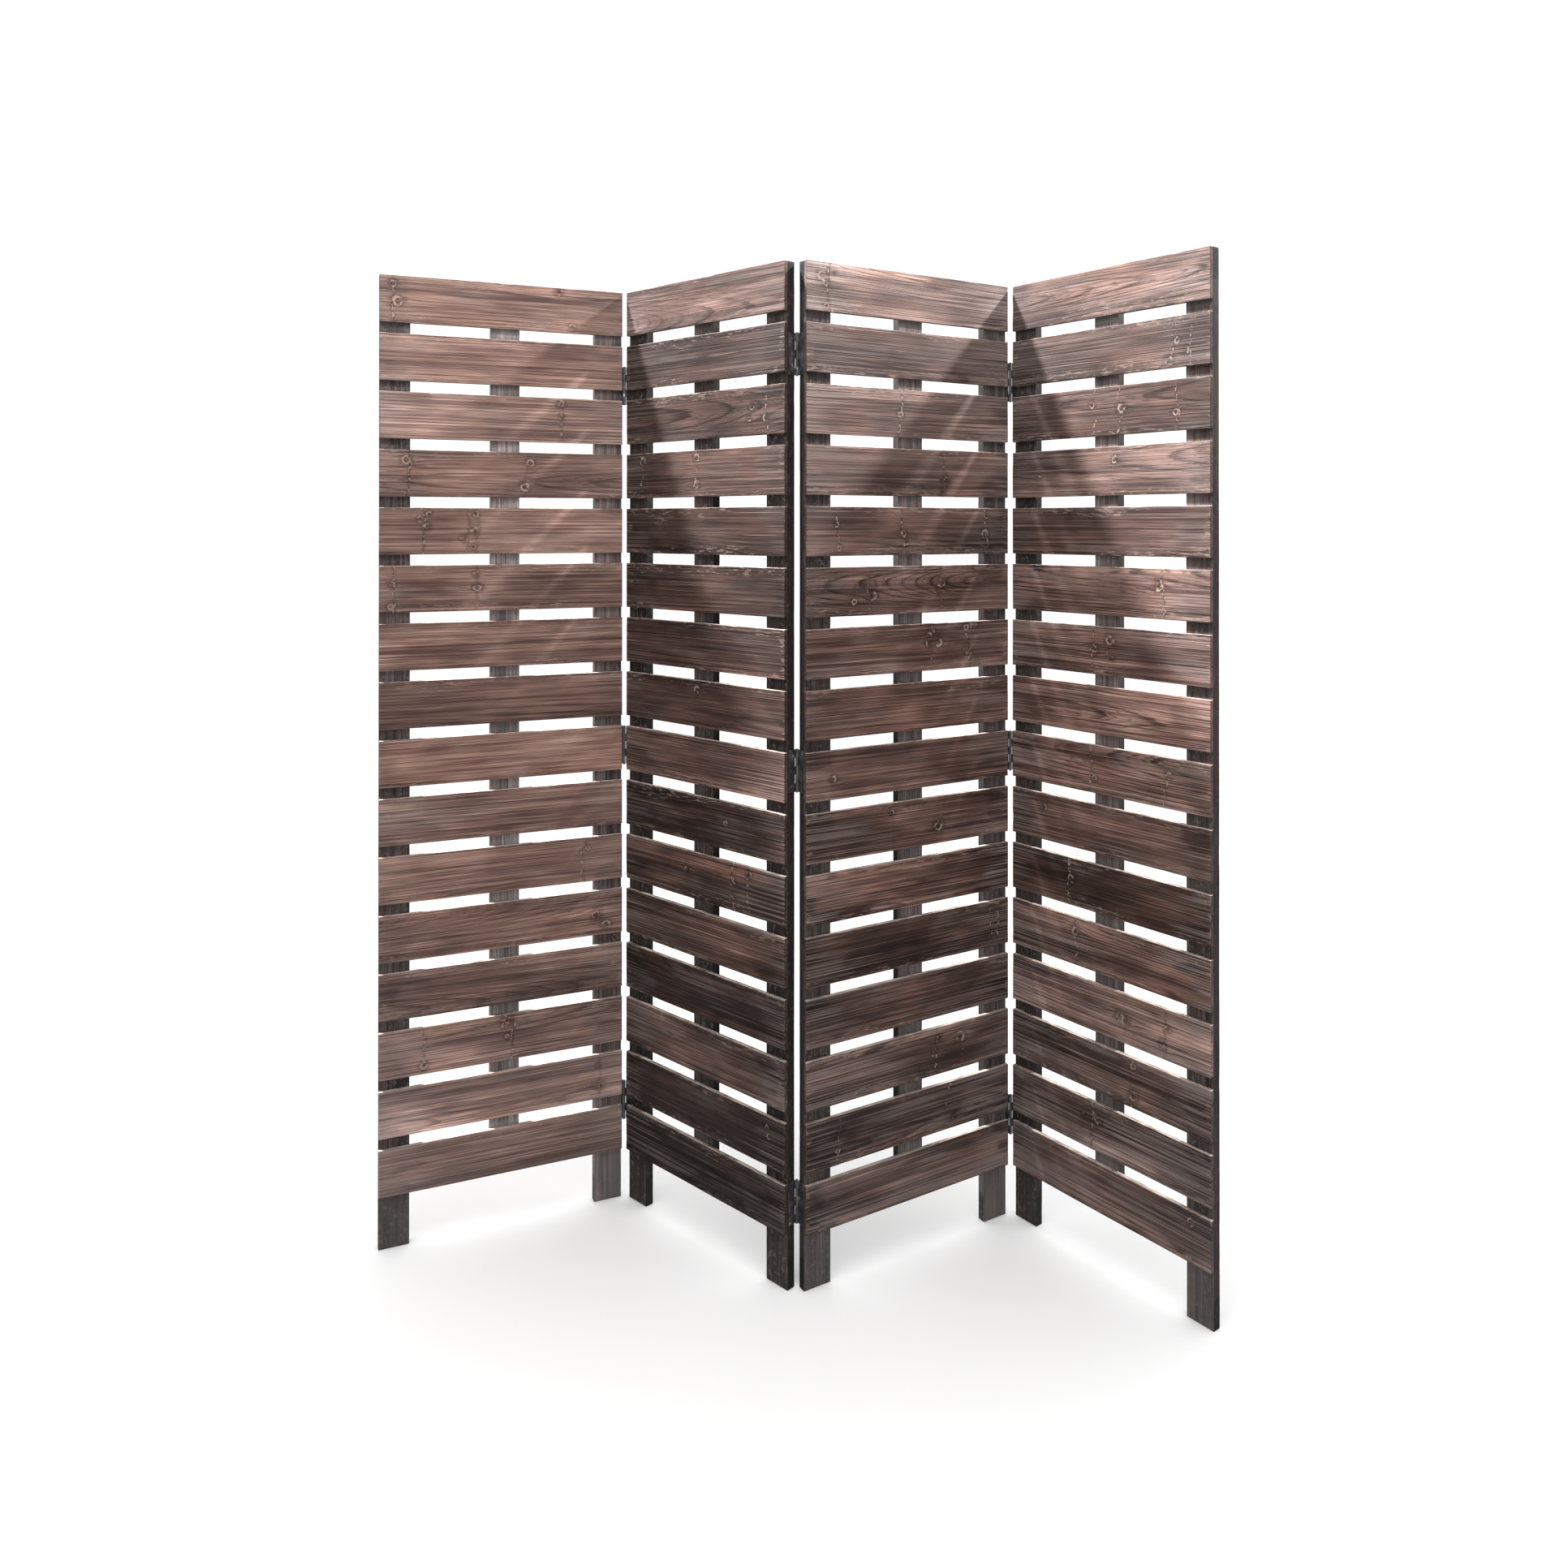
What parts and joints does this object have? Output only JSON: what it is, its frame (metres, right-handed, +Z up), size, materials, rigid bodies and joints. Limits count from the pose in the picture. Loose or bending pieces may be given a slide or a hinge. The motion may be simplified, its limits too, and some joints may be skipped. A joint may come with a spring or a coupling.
{
  "type": "folding room divider screen",
  "caption": "Free-standing zigzag privacy screen of hinged panels, each with horizontal pine slats on three upright stiles.",
  "frame": {"origin": "middle of the outline on the floor, at the bottoms of the legs", "axes": "+Z up, the slatted front faces -Y, panels 1 to 4 run from -X to +X"},
  "size_m": [1.5382, 0.3252, 1.829],
  "materials": {
    "brown_stained_pine": "brown-grey stain over wire-brushed rough pine, matt, pale worn edges",
    "dark_stained_pine": "darker brown-black stain, matt, vertical grain",
    "black_hinge_metal": "black painted steel, satin, rubbed at the edges",
    "black_screw_metal": "black oxide screw heads, satin",
    "brad_steel": "plain bright wire brads, hidden under the face"
  },
  "bodies": {
    "panel_1": {"panel_1_left_stile": "dark_stained_pine", "panel_1_middle_stile": "dark_stained_pine", "panel_1_right_stile": "dark_stained_pine", "panel_1_slats_1_to_4": "brown_stained_pine", "panel_1_slats_5_to_8": "brown_stained_pine", "panel_1_slats_9_to_12": "brown_stained_pine", "panel_1_slats_13_to_16": "brown_stained_pine", "panel_1_brads": "brad_steel", "fold_1_lower_hinge_left_leaf": "black_hinge_metal", "fold_1_centre_hinge_left_leaf": "black_hinge_metal", "fold_1_upper_hinge_left_leaf": "black_hinge_metal", "fold_1_hinge_pins": "black_hinge_metal", "fold_1_left_screws": "black_screw_metal"},
    "panel_2": {"panel_2_left_stile": "dark_stained_pine", "panel_2_middle_stile": "dark_stained_pine", "panel_2_right_stile": "dark_stained_pine", "panel_2_slats_1_to_4": "brown_stained_pine", "panel_2_slats_5_to_8": "brown_stained_pine", "panel_2_slats_9_to_12": "brown_stained_pine", "panel_2_slats_13_to_16": "brown_stained_pine", "panel_2_brads": "brad_steel", "fold_1_lower_hinge_right_leaf": "black_hinge_metal", "fold_1_centre_hinge_right_leaf": "black_hinge_metal", "fold_1_upper_hinge_right_leaf": "black_hinge_metal", "fold_1_right_screws": "black_screw_metal", "fold_2_lower_hinge_left_leaf": "black_hinge_metal", "fold_2_centre_hinge_left_leaf": "black_hinge_metal", "fold_2_upper_hinge_left_leaf": "black_hinge_metal", "fold_2_hinge_pins": "black_hinge_metal", "fold_2_left_screws": "black_screw_metal"},
    "panel_3": {"panel_3_left_stile": "dark_stained_pine", "panel_3_middle_stile": "dark_stained_pine", "panel_3_right_stile": "dark_stained_pine", "panel_3_slats_1_to_4": "brown_stained_pine", "panel_3_slats_5_to_8": "brown_stained_pine", "panel_3_slats_9_to_12": "brown_stained_pine", "panel_3_slats_13_to_16": "brown_stained_pine", "panel_3_brads": "brad_steel", "fold_2_lower_hinge_right_leaf": "black_hinge_metal", "fold_2_centre_hinge_right_leaf": "black_hinge_metal", "fold_2_upper_hinge_right_leaf": "black_hinge_metal", "fold_2_right_screws": "black_screw_metal", "fold_3_lower_hinge_left_leaf": "black_hinge_metal", "fold_3_centre_hinge_left_leaf": "black_hinge_metal", "fold_3_upper_hinge_left_leaf": "black_hinge_metal", "fold_3_hinge_pins": "black_hinge_metal", "fold_3_left_screws": "black_screw_metal"},
    "panel_4": {"panel_4_left_stile": "dark_stained_pine", "panel_4_middle_stile": "dark_stained_pine", "panel_4_right_stile": "dark_stained_pine", "panel_4_slats_1_to_4": "brown_stained_pine", "panel_4_slats_5_to_8": "brown_stained_pine", "panel_4_slats_9_to_12": "brown_stained_pine", "panel_4_slats_13_to_16": "brown_stained_pine", "panel_4_brads": "brad_steel", "fold_3_lower_hinge_right_leaf": "black_hinge_metal", "fold_3_centre_hinge_right_leaf": "black_hinge_metal", "fold_3_upper_hinge_right_leaf": "black_hinge_metal", "fold_3_right_screws": "black_screw_metal"}
  },
  "joints": [
    {"name": "fold_1", "type": "hinge", "parent": "panel_2", "child": "panel_1", "pos_m": [-0.36768, 0.08551, 0.9], "axis": [0, 0, 1], "range_deg": [-66, 114]},
    {"name": "fold_2", "type": "hinge", "parent": "panel_2", "child": "panel_3", "pos_m": [0.03789, -0.14043, 0.9], "axis": [0, 0, 1], "range_deg": [-74.5, 105.5]},
    {"name": "fold_3", "type": "hinge", "parent": "panel_3", "child": "panel_4", "pos_m": [0.40562, 0.14297, 0.9], "axis": [0, 0, -1], "range_deg": [-83, 97]}
  ]
}
